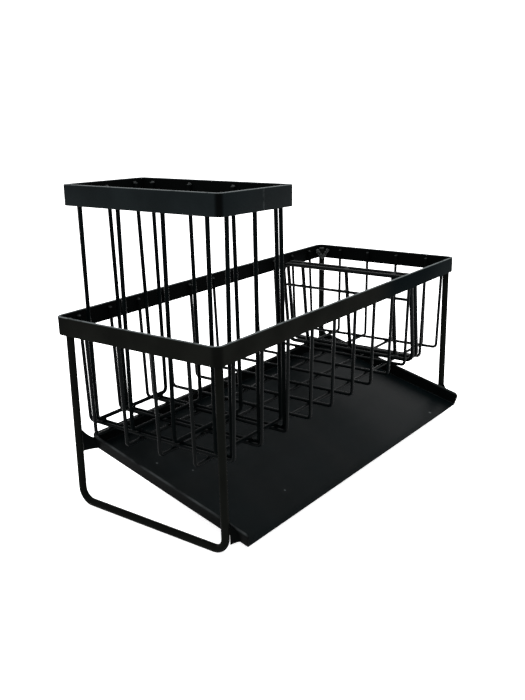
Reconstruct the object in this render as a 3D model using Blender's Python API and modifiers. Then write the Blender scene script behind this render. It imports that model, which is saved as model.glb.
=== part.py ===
"""Two-tier wire sink organizer.

A long wire basket hangs in a flat steel rim on two wire legs, over a sloped drip tray.
A tall narrow basket and a wire divider stand loose inside it and lift out.
Lengths are in metres. +Z is up, +X runs along the long side away from the tall basket,
and +Y points to the back. The origin lies on the counter, under the middle of the outline.
"""
import math

import bmesh
import bpy
from mathutils import Euler, Vector

# Clearance left between two pieces that are welded or rest on each other.
SEAT_GAP = 0.0003

# Flat strips that the rims are bent from.
STRIP_HEIGHT = 0.0115
TOWER_STRIP_HEIGHT = 0.0124
STRIP_THICKNESS = 0.0018
STRIP_EDGE_RADIUS = 0.0004

# Long rim.
RIM_LENGTH = 0.3000
RIM_DEPTH = 0.1284
RIM_TOP = 0.1261
RIM_CORNER_RADIUS = 0.0055

# Legs: one U of thick wire under each short end.
LEG_DIAMETER = 0.0049
LEG_BEND_RADIUS = 0.0085
LEG_TOP_DROP = 0.0020
LEG_BACK_INSET = 0.0005
LEG_BACK_LEAN = 0.0015
LEG_SIDES = 12

# Basket wires. The crosswise wires lie on top of the lengthwise ones.
WIRE_DIAMETER = 0.0023
WIRE_TOP_DROP = 0.0030
BASKET_FLOOR_HEIGHT = 0.0540
BASKET_LENGTHWISE_COUNT = 4
BASKET_LENGTHWISE_MARGIN = 0.0237
BASKET_LENGTHWISE_TAPER = 0.0016
BASKET_LENGTHWISE_BEND_RADIUS = 0.0020
BASKET_CROSSWISE_COUNT = 11
BASKET_CROSSWISE_MARGIN = 0.0190
BASKET_CROSSWISE_SHIFT = -0.0018
BASKET_CROSSWISE_TAPER = 0.0023
BASKET_CROSSWISE_BEND_RADIUS = 0.0030

# Tall basket, which stands loose at one end and leans a little along the long side.
# Its crosswise wires are the lowest and drop in beside the long basket's crosswise wires.
TOWER_LENGTH = 0.0683
TOWER_SIDE_CLEARANCE = 0.00235
TOWER_HEIGHT = 0.1499
TOWER_CORNER_RADIUS = 0.0038
TOWER_END_CLEARANCE = 0.0096
TOWER_LEAN = math.radians(0.3)
TOWER_WIRE_DIAMETER = 0.0026
TOWER_BEND_RADIUS = 0.0030
TOWER_LENGTHWISE_MARGIN = 0.01135
TOWER_LENGTHWISE_INNER = 0.0172
TOWER_LENGTHWISE_SPREAD = 0.0013
TOWER_CROSSWISE_COUNT = 3
TOWER_CROSSWISE_MARGIN = 0.0079
TOWER_CROSSWISE_SHIFT = 0.0006
TOWER_CROSSWISE_TAPER = 0.0015

# Divider: two rod loops side by side, with uprights between them and a thin rail.
ROD_DIAMETER = 0.0030
DIVIDER_TOP_DROP = 0.0038
DIVIDER_BEND_RADIUS = 0.0060
DIVIDER_LEAN = math.radians(6.2)
DIVIDER_BAY = 8
DIVIDER_BAY_STEP = 0.0152
DIVIDER_FRONT_CLEARANCE = 0.0012
DIVIDER_BACK_CLEARANCE = 0.0056
DIVIDER_UPRIGHT_COUNT = 3
DIVIDER_UPRIGHT_PITCH = 0.0408
DIVIDER_UPRIGHT_OVERRUN = 0.0006
DIVIDER_RAIL_HEIGHT = 0.0490

# Drip tray of folded sheet, open at the front and sloped towards it. It sits a little askew.
TRAY_THICKNESS = 0.0010
TRAY_END_INSET = 0.0119
TRAY_BACK_INSET = 0.0132
TRAY_FRONT_REACH = 0.0091
TRAY_FRONT_HEIGHT = 0.0063
TRAY_SLOPE = math.radians(14.4)
TRAY_SKEW = math.radians(-0.87)
TRAY_LIP_HEIGHT = 0.0094
TRAY_LIP_FLARE = 0.0021
TRAY_FOLD_RADIUS = 0.0013
TRAY_LIP_CORNER_RADIUS = 0.0022

# Tabs bent out of the tray's end lips and spot welded to the legs.
TAB_FRONT_SETBACK = 0.0070
TAB_BACK_SETBACK = 0.0030
TAB_RISE = 0.0050
TAB_DROP = 0.0020

# How finely arcs and tubes are drawn.
BEND_STEPS = 4
CORNER_STEPS = 6
FOLD_STEPS = 3

COAT_COLOUR = (0.016, 0.018, 0.018, 1.0)
TRAY_COLOUR = (0.030, 0.034, 0.036, 1.0)
COAT_ROUGHNESS = 0.38


def wire_inset(diameter):
    """Distance from a rim's outer face to the centre line of a wire welded inside it."""
    return STRIP_THICKNESS + SEAT_GAP + diameter / 2


def spread(count, span):
    """Evenly spaced places from one end of a centred span to the other."""
    pitch = span / (count - 1)
    return [index * pitch - span / 2 for index in range(count)]


def basket_crosswise_stations():
    """X of each crosswise wire, from the middle of the long rim."""
    span = RIM_LENGTH - 2 * BASKET_CROSSWISE_MARGIN
    return [place + BASKET_CROSSWISE_SHIFT for place in spread(BASKET_CROSSWISE_COUNT, span)]


def basket_lengthwise_height():
    """Centre height of the lengthwise wires, just under the crosswise ones."""
    return BASKET_FLOOR_HEIGHT - WIRE_DIAMETER - SEAT_GAP


def leg_place():
    """X and Y of a leg's upright from the middle of the rim, inside its corner."""
    along = RIM_LENGTH / 2 - RIM_CORNER_RADIUS - SEAT_GAP
    across = RIM_DEPTH / 2 - STRIP_THICKNESS - SEAT_GAP - LEG_DIAMETER / 2
    return along, across


def leg_back_y(height):
    """Y of a leg's back upright at a height, from the middle of the rim. It leans forward a little."""
    along, across = leg_place()
    return across - LEG_BACK_INSET - LEG_BACK_LEAN * height / RIM_TOP


def corner_arc(before, corner, after, radius, steps):
    """Points of the arc that rounds one corner of a path."""
    back = (before - corner).normalized()
    ahead = (after - corner).normalized()
    half_angle = back.angle(ahead) / 2
    centre = corner + (back + ahead).normalized() * radius / math.sin(half_angle)
    reach = radius / math.tan(half_angle)
    first = (corner + back * reach - centre).normalized()
    last = (corner + ahead * reach - centre).normalized()
    return [centre + first.slerp(last, step / steps) * radius for step in range(steps + 1)]


def open_path(corners, radius):
    """Straight runs through the corner points, with each inner corner rounded."""
    path = [corners[0]]
    for before, corner, after in zip(corners, corners[1:], corners[2:]):
        path += corner_arc(before, corner, after, radius, BEND_STEPS)
    path.append(corners[-1])
    return path


def closed_path(corners, radius, steps):
    """A closed loop through the corner points, with every corner rounded."""
    path = []
    for index, corner in enumerate(corners):
        after = corners[(index + 1) % len(corners)]
        path += corner_arc(corners[index - 1], corner, after, radius, steps)
    return path


def u_path(top_span, floor_span, height, bend_radius):
    """Centre line of a U in the XZ plane, with its floor at height 0."""
    corners = [
        Vector((-top_span / 2, 0, height)),
        Vector((-floor_span / 2, 0, 0)),
        Vector((floor_span / 2, 0, 0)),
        Vector((top_span / 2, 0, height)),
    ]
    return open_path(corners, bend_radius)


def rounded_rectangle(length, depth, radius):
    """Outline of a rounded rectangle centred on the origin."""
    half_length = length / 2
    half_depth = depth / 2
    corners = [
        Vector((-half_length, -half_depth, 0)),
        Vector((half_length, -half_depth, 0)),
        Vector((half_length, half_depth, 0)),
        Vector((-half_length, half_depth, 0)),
    ]
    return closed_path(corners, radius, CORNER_STEPS)


def new_collection(name):
    """A collection linked to the scene."""
    collection = bpy.data.collections.new(name)
    bpy.context.scene.collection.children.link(collection)
    return collection


def new_coat(name, colour):
    """Satin black powder coat on steel."""
    material = bpy.data.materials.new(name)
    material.use_nodes = True
    shader = material.node_tree.nodes["Principled BSDF"]
    shader.inputs["Base Color"].default_value = colour
    shader.inputs["Roughness"].default_value = COAT_ROUGHNESS
    shader.inputs["Metallic"].default_value = 0.0
    return material


def add_object(name, data, collection, parent, location, turn=0.0):
    """An object placed under its parent, turned about the upright axis."""
    thing = bpy.data.objects.new(name, data)
    collection.objects.link(thing)
    thing.parent = parent
    thing.location = location
    thing.rotation_euler.z = turn
    return thing


def add_empty(name, collection, parent, location, lean=0.0):
    """A parent for a group of pieces, leaning about its own Y axis."""
    empty = add_object(name, None, collection, parent, location)
    empty.rotation_euler.y = lean
    return empty


def add_spline(curve, path, cyclic, tilt=0.0):
    """One poly spline through the points of a path."""
    spline = curve.splines.new("POLY")
    spline.points.add(len(path) - 1)
    for point, place in zip(spline.points, path):
        point.co = (*place, 1)
        point.tilt = tilt
    spline.use_cyclic_u = cyclic


def add_tube(name, path, diameter, collection, parent, location, turn=0.0, cyclic=False, sides=8):
    """A round wire along a path. A flat facet, not an edge, faces straight down."""
    curve = bpy.data.curves.new(name, "CURVE")
    curve.dimensions = "3D"
    curve.bevel_depth = diameter / 2
    curve.bevel_resolution = sides // 2 - 2
    curve.use_fill_caps = not cyclic
    add_spline(curve, path, cyclic, tilt=math.pi / sides)
    curve.materials.append(new_coat(name + "_coat", COAT_COLOUR))
    tube = add_object(name, curve, collection, parent, location, turn)
    return tube


def add_rim(name, outline, height, collection, parent, top):
    """A flat strip bent on edge into a closed rounded rectangle."""
    length, depth, corner_radius = outline
    curve = bpy.data.curves.new(name, "CURVE")
    curve.dimensions = "2D"
    curve.fill_mode = "BOTH"
    curve.extrude = height / 2
    inner_length = length - 2 * STRIP_THICKNESS
    inner_depth = depth - 2 * STRIP_THICKNESS
    inner_radius = corner_radius - STRIP_THICKNESS
    add_spline(curve, rounded_rectangle(length, depth, corner_radius), cyclic=True)
    add_spline(curve, rounded_rectangle(inner_length, inner_depth, inner_radius), cyclic=True)
    curve.materials.append(new_coat(name + "_coat", COAT_COLOUR))
    rim = add_object(name, curve, collection, parent, (0, 0, top - height / 2))
    weld = rim.modifiers.new("Weld", "WELD")
    weld.merge_threshold = 0.00001
    bevel = rim.modifiers.new("Bevel", "BEVEL")
    bevel.width = STRIP_EDGE_RADIUS
    bevel.segments = 2
    bevel.limit_method = "ANGLE"
    bevel.angle_limit = math.radians(50)
    return rim


def add_legs(collection, parent):
    """Two U-shaped legs inside the rim's corners."""
    along, across = leg_place()
    flat_radius = LEG_DIAMETER / 2 * math.cos(math.pi / LEG_SIDES)
    height = RIM_TOP - LEG_TOP_DROP - flat_radius
    corners = [
        Vector((-across, 0, height)),
        Vector((-across, 0, 0)),
        Vector((leg_back_y(0), 0, 0)),
        Vector((leg_back_y(height), 0, height)),
    ]
    path = open_path(corners, LEG_BEND_RADIUS)
    for name, x in (("leg_near", -along), ("leg_far", along)):
        place = (x, 0, flat_radius)
        add_tube(name, path, LEG_DIAMETER, collection, parent, place, math.pi / 2, sides=LEG_SIDES)


def add_basket_wires(collection, parent):
    """The long basket: lengthwise wires underneath and crosswise wires over them."""
    low = basket_lengthwise_height()
    top = RIM_TOP - WIRE_TOP_DROP
    top_span = RIM_LENGTH - 2 * wire_inset(WIRE_DIAMETER)
    floor_span = top_span - 2 * BASKET_LENGTHWISE_TAPER
    path = u_path(top_span, floor_span, top - low, BASKET_LENGTHWISE_BEND_RADIUS)
    across = spread(BASKET_LENGTHWISE_COUNT, RIM_DEPTH - 2 * BASKET_LENGTHWISE_MARGIN)
    for number, y in enumerate(across, start=1):
        name = f"basket_wire_lengthwise_{number}"
        add_tube(name, path, WIRE_DIAMETER, collection, parent, (0, y, low))
    top_span = RIM_DEPTH - 2 * wire_inset(WIRE_DIAMETER)
    floor_span = top_span - 2 * BASKET_CROSSWISE_TAPER
    height = top - BASKET_FLOOR_HEIGHT
    path = u_path(top_span, floor_span, height, BASKET_CROSSWISE_BEND_RADIUS)
    for number, x in enumerate(basket_crosswise_stations(), start=1):
        name = f"basket_wire_crosswise_{number:02d}"
        place = (x, 0, BASKET_FLOOR_HEIGHT)
        add_tube(name, path, WIRE_DIAMETER, collection, parent, place, math.pi / 2)


def tower_depth():
    """Outer depth of the tall basket, which stands clear of the long rim at the front and back."""
    return RIM_DEPTH - 2 * (STRIP_THICKNESS + TOWER_SIDE_CLEARANCE)


def tower_place():
    """X of the tall basket's foot, from the middle of the long rim."""
    return TOWER_LENGTH / 2 + TOWER_END_CLEARANCE + STRIP_THICKNESS - RIM_LENGTH / 2


def tower_crosswise_places():
    """X of each crosswise wire of the tall basket, from its own middle."""
    span = TOWER_LENGTH - 2 * TOWER_CROSSWISE_MARGIN
    return [place + TOWER_CROSSWISE_SHIFT for place in spread(TOWER_CROSSWISE_COUNT, span)]


def tower_rest_height():
    """Height of the leaning foot at which no wire of the tall basket sinks into the long one."""
    slope = math.tan(TOWER_LEAN)
    between = (WIRE_DIAMETER + TOWER_WIRE_DIAMETER) / 2 + SEAT_GAP
    layer = TOWER_WIRE_DIAMETER + SEAT_GAP
    stations = [station - tower_place() for station in basket_crosswise_stations()]
    heights = []
    for place in tower_crosswise_places():
        heights.append(basket_lengthwise_height() + between + place * slope)
        for station in stations:
            beside = min(abs(station - place), between)
            lift = math.sqrt(between ** 2 - beside ** 2)
            heights.append(BASKET_FLOOR_HEIGHT + lift + place * slope)
    for station in stations:
        if abs(station) < TOWER_LENGTH / 2:
            heights.append(BASKET_FLOOR_HEIGHT + between - layer + station * slope)
    return max(heights)


def add_tower(collection, parent):
    """The tall basket on its own leaning parent, lengthwise wires lying on the crosswise ones."""
    place = (tower_place(), 0, tower_rest_height())
    tower = add_empty("tower", collection, parent, place, lean=TOWER_LEAN)
    top = TOWER_HEIGHT - TOWER_WIRE_DIAMETER / 2
    depth = tower_depth()
    outline = (TOWER_LENGTH, depth, TOWER_CORNER_RADIUS)
    add_rim("tower_rim", outline, TOWER_STRIP_HEIGHT, collection, tower, top)
    wire_top = top - WIRE_TOP_DROP
    layer = TOWER_WIRE_DIAMETER + SEAT_GAP
    top_span = TOWER_LENGTH - 2 * wire_inset(TOWER_WIRE_DIAMETER)
    floor_span = top_span + 2 * TOWER_LENGTHWISE_SPREAD
    path = u_path(top_span, floor_span, wire_top - layer, TOWER_BEND_RADIUS)
    outer, inner = depth / 2 - TOWER_LENGTHWISE_MARGIN, TOWER_LENGTHWISE_INNER
    across = (-outer, -inner, inner, outer)
    for number, y in enumerate(across, start=1):
        name = f"tower_wire_lengthwise_{number}"
        add_tube(name, path, TOWER_WIRE_DIAMETER, collection, tower, (0, y, layer))
    top_span = depth - 2 * wire_inset(TOWER_WIRE_DIAMETER)
    floor_span = top_span - 2 * TOWER_CROSSWISE_TAPER
    path = u_path(top_span, floor_span, wire_top, TOWER_BEND_RADIUS)
    for number, x in enumerate(tower_crosswise_places(), start=1):
        name = f"tower_wire_crosswise_{number}"
        add_tube(name, path, TOWER_WIRE_DIAMETER, collection, tower, (x, 0, 0), math.pi / 2)


def add_divider(collection, parent):
    """The loose divider, standing in one bay between two crosswise wires and leaning back in it."""
    loop_offset = ROD_DIAMETER + SEAT_GAP
    inside = RIM_DEPTH - 2 * STRIP_THICKNESS
    half = (inside - DIVIDER_FRONT_CLEARANCE - DIVIDER_BACK_CLEARANCE - ROD_DIAMETER) / 2
    x = basket_crosswise_stations()[DIVIDER_BAY] + DIVIDER_BAY_STEP
    y = (DIVIDER_FRONT_CLEARANCE - DIVIDER_BACK_CLEARANCE) / 2
    z = basket_lengthwise_height() + WIRE_DIAMETER / 2 + SEAT_GAP + ROD_DIAMETER / 2
    z += loop_offset * math.sin(DIVIDER_LEAN)
    height = (RIM_TOP - DIVIDER_TOP_DROP - ROD_DIAMETER / 2 - z) / math.cos(DIVIDER_LEAN)
    divider = add_empty("divider", collection, parent, (x, y, z), lean=-DIVIDER_LEAN)
    corners = [
        Vector((0, -half, 0)),
        Vector((0, half, 0)),
        Vector((0, half, height)),
        Vector((0, -half, height)),
    ]
    loop = closed_path(corners, DIVIDER_BEND_RADIUS, BEND_STEPS)
    for name, offset in (("divider_loop_near", -loop_offset), ("divider_loop_far", loop_offset)):
        add_tube(name, loop, ROD_DIAMETER, collection, divider, (offset, 0, 0), cyclic=True)
    foot = Vector((0, 0, -DIVIDER_UPRIGHT_OVERRUN))
    head = Vector((0, 0, height + DIVIDER_UPRIGHT_OVERRUN))
    span = DIVIDER_UPRIGHT_PITCH * (DIVIDER_UPRIGHT_COUNT - 1)
    for number, place in enumerate(spread(DIVIDER_UPRIGHT_COUNT, span), start=1):
        name = f"divider_upright_{number}"
        add_tube(name, [foot, head], ROD_DIAMETER, collection, divider, (0, place, 0))
    reach = half - ROD_DIAMETER / 2 - SEAT_GAP
    rail = [Vector((0, -reach, 0)), Vector((0, reach, 0))]
    place = (-ROD_DIAMETER / 2 - SEAT_GAP - WIRE_DIAMETER / 2, 0, DIVIDER_RAIL_HEIGHT)
    add_tube("divider_rail", rail, WIRE_DIAMETER, collection, divider, place)


def tray_size():
    """The tray's length along X and its run down the slope."""
    length = RIM_LENGTH - 2 * TRAY_END_INSET
    run = (RIM_DEPTH + TRAY_FRONT_REACH - TRAY_BACK_INSET) / math.cos(TRAY_SLOPE)
    return length, run


def tray_placement():
    """Turn and place of the tray: its slope, then its skew about its own middle."""
    depth = RIM_DEPTH + TRAY_FRONT_REACH - TRAY_BACK_INSET
    front = -RIM_DEPTH / 2 - TRAY_FRONT_REACH
    place = Vector((depth / 2 * math.sin(TRAY_SKEW), front, TRAY_FRONT_HEIGHT))
    return Euler((TRAY_SLOPE, 0, TRAY_SKEW)), place


def tray_skin(name):
    """The tray's outer skin, open at the front: a floor with three flared lips folded up from it."""
    length, run = tray_size()
    skin = bmesh.new()
    bmesh.ops.create_grid(skin, x_segments=1, y_segments=1, size=0.5)
    bmesh.ops.scale(skin, vec=(length, run, 1), verts=skin.verts)
    bmesh.ops.translate(skin, vec=(0, run / 2, 0), verts=skin.verts)
    front = [edge for edge in skin.edges if all(vert.co.y < run / 2 for vert in edge.verts)]
    folds = [edge for edge in skin.edges if edge not in front]
    lifted = bmesh.ops.extrude_edge_only(skin, edges=folds)["geom"]
    rims = [item for item in lifted if isinstance(item, bmesh.types.BMVert)]
    bmesh.ops.translate(skin, vec=(0, 0, TRAY_LIP_HEIGHT), verts=rims)
    for vert in rims:
        vert.co.x += math.copysign(TRAY_LIP_FLARE, vert.co.x)
        if vert.co.y > run / 2:
            vert.co.y += TRAY_LIP_FLARE
    seams = [edge for edge in skin.edges if len(edge.link_faces) == 2]
    bmesh.ops.bevel(skin, geom=seams, offset=TRAY_FOLD_RADIUS, offset_type="OFFSET",
                    segments=FOLD_STEPS, profile=0.5, affect="EDGES")
    tips = [vert for vert in skin.verts if vert.co.y < TRAY_FOLD_RADIUS / 2
            and vert.co.z > TRAY_LIP_HEIGHT - TRAY_FOLD_RADIUS / 2]
    bmesh.ops.bevel(skin, geom=tips, offset=TRAY_LIP_CORNER_RADIUS, offset_type="OFFSET",
                    segments=CORNER_STEPS, profile=0.5, affect="VERTICES")
    bmesh.ops.recalc_face_normals(skin, faces=skin.faces)
    mesh = bpy.data.meshes.new(name)
    skin.to_mesh(mesh)
    skin.free()
    return mesh


def add_tab(name, side, from_back, collection, parent):
    """A flared tab from a point on an end lip to the leg beside it, as a flat upright plate."""
    leg_x, leg_y = leg_place()
    length, run = tray_size()
    along = run - TAB_BACK_SETBACK if from_back else TAB_FRONT_SETBACK
    turn, place = tray_placement()
    half = length / 2 - TRAY_THICKNESS / 2
    low = Vector((side * half, along, TRAY_THICKNESS))
    high = Vector((side * (half + TRAY_LIP_FLARE), along, TRAY_LIP_HEIGHT - TRAY_THICKNESS))
    low.rotate(turn)
    high.rotate(turn)
    low += place
    high += place
    fold = (low + high) / 2
    leg_y = leg_back_y(fold.z) if from_back else -leg_y
    toward = Vector((side * leg_x - fold.x, leg_y - fold.y))
    reach = toward.length - LEG_DIAMETER / 2 - SEAT_GAP
    lean = TRAY_LIP_FLARE / 2 * toward.length / abs(toward.x)
    outline = [
        Vector((-lean, low.z, 0)),
        Vector((reach, low.z - TAB_DROP, 0)),
        Vector((reach, high.z + TAB_RISE, 0)),
        Vector((lean, high.z, 0)),
    ]
    curve = bpy.data.curves.new(name, "CURVE")
    curve.dimensions = "2D"
    curve.fill_mode = "BOTH"
    curve.extrude = TRAY_THICKNESS / 2
    add_spline(curve, outline, cyclic=True)
    heading = math.atan2(toward.y, toward.x)
    tab = add_object(name, curve, collection, parent, (fold.x, fold.y, 0), heading)
    tab.rotation_euler.x = math.pi / 2
    return tab


def curve_to_mesh(thing):
    """Swap a curve object for a mesh object of the same shape and place, with its caps welded."""
    bpy.context.view_layer.update()
    evaluated = thing.evaluated_get(bpy.context.evaluated_depsgraph_get())
    mesh = bpy.data.meshes.new_from_object(evaluated)
    solid = bmesh.new()
    solid.from_mesh(mesh)
    bmesh.ops.remove_doubles(solid, verts=solid.verts, dist=0.00001)
    solid.to_mesh(mesh)
    solid.free()
    name = thing.name
    collection = thing.users_collection[0]
    parent = thing.parent
    place = thing.matrix_basis.copy()
    bpy.data.objects.remove(thing)
    swapped = bpy.data.objects.new(name, mesh)
    collection.objects.link(swapped)
    swapped.parent = parent
    swapped.matrix_basis = place
    swapped.hide_render = True
    swapped.display_type = "WIRE"
    return swapped


def add_tray(collection, tools, parent):
    """The sloped tray, with its four tabs joined to it."""
    mesh = tray_skin("drip_tray")
    mesh.materials.append(new_coat("drip_tray_coat", TRAY_COLOUR))
    turn, place = tray_placement()
    tray = add_object("drip_tray", mesh, collection, parent, place)
    tray.rotation_euler = turn
    sheet = tray.modifiers.new("Sheet", "SOLIDIFY")
    sheet.thickness = TRAY_THICKNESS
    sheet.offset = -1
    for end, side in (("near", -1), ("far", 1)):
        for row in ("front", "back"):
            name = f"tab_{row}_{end}"
            tab = curve_to_mesh(add_tab(name, side, row == "back", tools, parent))
            joint = tray.modifiers.new(name, "BOOLEAN")
            joint.operation = "UNION"
            joint.object = tab
    return tray


def tray_reach(tray):
    """How far the tray's foremost point stands in front of the rim."""
    bpy.context.view_layer.update()
    front = min((tray.matrix_local @ vert.co).y for vert in tray.data.vertices)
    return -RIM_DEPTH / 2 - front


def build():
    """Clear the scene and model every piece."""
    for old in list(bpy.data.objects):
        bpy.data.objects.remove(old)
    pieces = new_collection("sink_organizer")
    tools = new_collection("joining_shapes")
    organizer = add_empty("organizer", pieces, None, (0, 0, 0))
    outline = (RIM_LENGTH, RIM_DEPTH, RIM_CORNER_RADIUS)
    add_rim("rim", outline, STRIP_HEIGHT, pieces, organizer, RIM_TOP)
    add_legs(pieces, organizer)
    add_basket_wires(pieces, organizer)
    add_tower(pieces, organizer)
    add_divider(pieces, organizer)
    tray = add_tray(pieces, tools, organizer)
    organizer.location.y = tray_reach(tray) / 2


build()
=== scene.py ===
"""Looks of the wire sink organizer: fine wires, bent strips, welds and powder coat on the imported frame.

Lengths are in metres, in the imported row's frame. +X runs from the tall basket to the divider,
+Y points to the back and +Z up.
"""
import math

import bpy
import numpy as np
from bpy.props import FloatProperty, FloatVectorProperty, PointerProperty
from mathutils import Matrix, Vector


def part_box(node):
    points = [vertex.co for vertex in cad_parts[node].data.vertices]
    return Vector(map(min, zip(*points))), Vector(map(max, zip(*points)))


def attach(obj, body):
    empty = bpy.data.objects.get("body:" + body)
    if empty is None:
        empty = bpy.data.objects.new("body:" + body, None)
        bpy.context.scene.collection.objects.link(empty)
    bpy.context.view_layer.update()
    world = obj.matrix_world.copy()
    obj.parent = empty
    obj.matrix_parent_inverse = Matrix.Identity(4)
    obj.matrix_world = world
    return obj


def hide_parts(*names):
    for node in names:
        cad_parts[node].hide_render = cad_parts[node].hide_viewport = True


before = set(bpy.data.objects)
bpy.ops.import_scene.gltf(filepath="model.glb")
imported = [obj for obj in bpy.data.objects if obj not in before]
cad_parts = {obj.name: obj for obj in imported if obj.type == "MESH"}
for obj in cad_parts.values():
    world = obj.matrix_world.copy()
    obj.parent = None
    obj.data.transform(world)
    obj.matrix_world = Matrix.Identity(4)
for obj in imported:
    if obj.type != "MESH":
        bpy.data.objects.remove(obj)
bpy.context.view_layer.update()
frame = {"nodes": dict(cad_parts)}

bl_info = {
    "name": "Sink organizer",
    "version": (1, 0, 0),
    "blender": (4, 5, 0),
    "location": "3D View > Sidebar > Organizer",
    "description": "Dresses the wire sink organizer in fine wires, welds and powder coat",
    "category": "Object",
}

# Sizes shared with the solids.
SEAT_GAP = 0.0003
STRIP_THICKNESS = 0.0018
STRIP_EDGE_RADIUS = 0.0004
RIM_CORNER_RADIUS = 0.0055
LEG_DIAMETER = 0.0049
LEG_BEND_RADIUS = 0.0085
LEG_TOP_DROP = 0.0020
LEG_BACK_INSET = 0.0005
LEG_BACK_LEAN = 0.0015
WIRE_DIAMETER = 0.0023
WIRE_TOP_DROP = 0.0030
BASKET_FLOOR_HEIGHT = 0.0540
BASKET_LENGTHWISE_TAPER = 0.0016
BASKET_LENGTHWISE_BEND_RADIUS = 0.0020
BASKET_CROSSWISE_TAPER = 0.0023
BASKET_CROSSWISE_BEND_RADIUS = 0.0030
TOWER_LENGTH = 0.0683
TOWER_SIDE_CLEARANCE = 0.00235
TOWER_HEIGHT = 0.1499
TOWER_STRIP_HEIGHT = 0.0124
TOWER_CORNER_RADIUS = 0.0038
TOWER_LEAN = math.radians(0.3)
TOWER_WIRE_DIAMETER = 0.0026
TOWER_BEND_RADIUS = 0.0030
TOWER_LENGTHWISE_SPREAD = 0.0013
TOWER_CROSSWISE_MARGIN = 0.0079
TOWER_CROSSWISE_SHIFT = 0.0006
TOWER_CROSSWISE_TAPER = 0.0015
ROD_DIAMETER = 0.0030
DIVIDER_TOP_DROP = 0.0038
DIVIDER_BEND_RADIUS = 0.0060
DIVIDER_LEAN = math.radians(6.2)
DIVIDER_BAY = 8
DIVIDER_BAY_STEP = 0.0152
DIVIDER_FRONT_CLEARANCE = 0.0012
DIVIDER_BACK_CLEARANCE = 0.0056
DIVIDER_UPRIGHT_PITCH = 0.0408
DIVIDER_UPRIGHT_OVERRUN = 0.0006
DIVIDER_RAIL_HEIGHT = 0.0490
TRAY_THICKNESS = 0.0010
TRAY_END_INSET = 0.0119
TRAY_BACK_INSET = 0.0132
TRAY_FRONT_REACH = 0.0091
TRAY_FRONT_HEIGHT = 0.0063
TRAY_SLOPE = math.radians(14.4)
TRAY_SKEW = math.radians(-0.87)
TRAY_LIP_HEIGHT = 0.0094
TRAY_LIP_FLARE = 0.0021
TRAY_FOLD_RADIUS = 0.0013
TRAY_LIP_CORNER_RADIUS = 0.0022
TAB_FRONT_SETBACK = 0.0070
TAB_BACK_SETBACK = 0.0030
TAB_RISE = 0.0050
TAB_DROP = 0.0020

# Sizes of the dressed pieces where the solids are plainer.
TOWER_WIRE_LEAN = math.radians(-0.15)
TOWER_RIM_TILT = math.radians(1.2)
TOWER_RIM_SHIFT = np.array([-0.0012, 0.0, 0.0005])
TOWER_LENGTHWISE_PLACES = (-0.0487, -0.0172, 0.0172, 0.0487)
TOWER_CROSSWISE_HEADS = (0.0012, -0.0006, -0.0024)
LAST_CROSSWISE_SKEW = 0.0039
TRAY_SAG = 0.0004
TRAY_EDGE_BEVEL = 0.00025
TAB_THICKNESS = 0.0009
TAB_FLARE_POWER = 1.6

# The shoulder at a wire's cut end, in shares of the wire's radius.
SHOULDER_LENGTH = 0.35
SHOULDER_RADIUS = 0.72

# The seam in the tall rim's front face, a low bump across the strip.
SEAM_PLACE = 0.0037
SEAM_REACH = 0.0022
SEAM_WIDTH = 0.0007
SEAM_HEIGHT = 0.00014
SEAM_STEPS = 13

# Sizes of the weld beads along X, Y and Z, and their way in from a strip's inner face, in ordinary beads.
CROSSWISE_END_BEAD = (1.25, 0.85, 0.75)
LENGTHWISE_END_BEAD = (0.85, 1.25, 0.75)
TOWER_CROSSWISE_END_BEAD = (1.35, 0.9, 0.8)
TOWER_LENGTHWISE_END_BEAD = (0.9, 1.35, 0.8)
CROSSING_BEAD = (1.3, 1.3, 0.85)
TOWER_CROSSING_BEAD = (1.4, 1.4, 1.0)
TOWER_CORNER_BEAD = (1.26, 1.26, 0.9)
LEG_BEAD = (1.5, 1.3, 2.2)
HEAP_BEAD = (1.4, 1.4, 1.6)
DIVIDER_BEAD = (0.9, 1.9, 1.5)
BEAD_INSET = 0.7

# The beads at a leg's upper end, and the seed of every bead's lumps.
LEG_BEAD_REACH = 0.0024
LEG_BEAD_DROP = 0.0022
BEAD_SEED = 7

# The heap of weld beads at the far back leg, from its upper end: down one side of it and up the other.
HEAP_SPREAD = 1.15
HEAP_PLACES = (
    (-0.0042, 0.0012, -0.0020),
    (-0.0034, 0.0004, -0.0036),
    (-0.0026, -0.0006, -0.0052),
    (-0.0018, -0.0018, -0.0066),
    (-0.0006, -0.0026, -0.0054),
    (0.0006, -0.0032, -0.0038),
    (0.0014, -0.0040, -0.0022),
)

# Dust on the tray: each speck's place and size.
TRAY_DUST = (
    ((-0.1197, 0.0215, 0.0295), 0.0010),
    ((-0.1072, 0.0024, 0.0247), 0.0009),
    ((-0.0769, -0.0476, 0.0120), 0.0009),
    ((0.1036, -0.0626, 0.0088), 0.0014),
)

# Patterns in the coat: patches to a metre, fineness, and where their ramp begins and ends.
CLOUDS = (34.0, 3.0, 0.30, 0.70)
# The fold, edge and seam patterns break up painted highlights, and the weld speckle breaks a weld's light tone
# into painted glints.
FOLD_HIGHLIGHT = (90.0, 2.0, 0.20, 0.70)
EDGE_HIGHLIGHT = (210.0, 2.0, 0.10, 0.50)
SEAM_HIGHLIGHT = (420.0, 1.0, 0.35, 0.75)
WELD_SPECKLE = (1500.0, 1.0, 0.35, 0.65)

# Stretches along X and Y over which a rim's painted reflection changes.
RIM_REFLECTION_X = (0.015, 0.055)
RIM_END_X = (0.090, 0.140)
TOWER_NEAR_X = (-0.138, -0.095)
TOWER_FRONT_Y = (-0.056, -0.048)

# Factors on the coat's colours, and how much of each second tone shows.
CLOUD_TONES = (0.80, 1.22)
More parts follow.
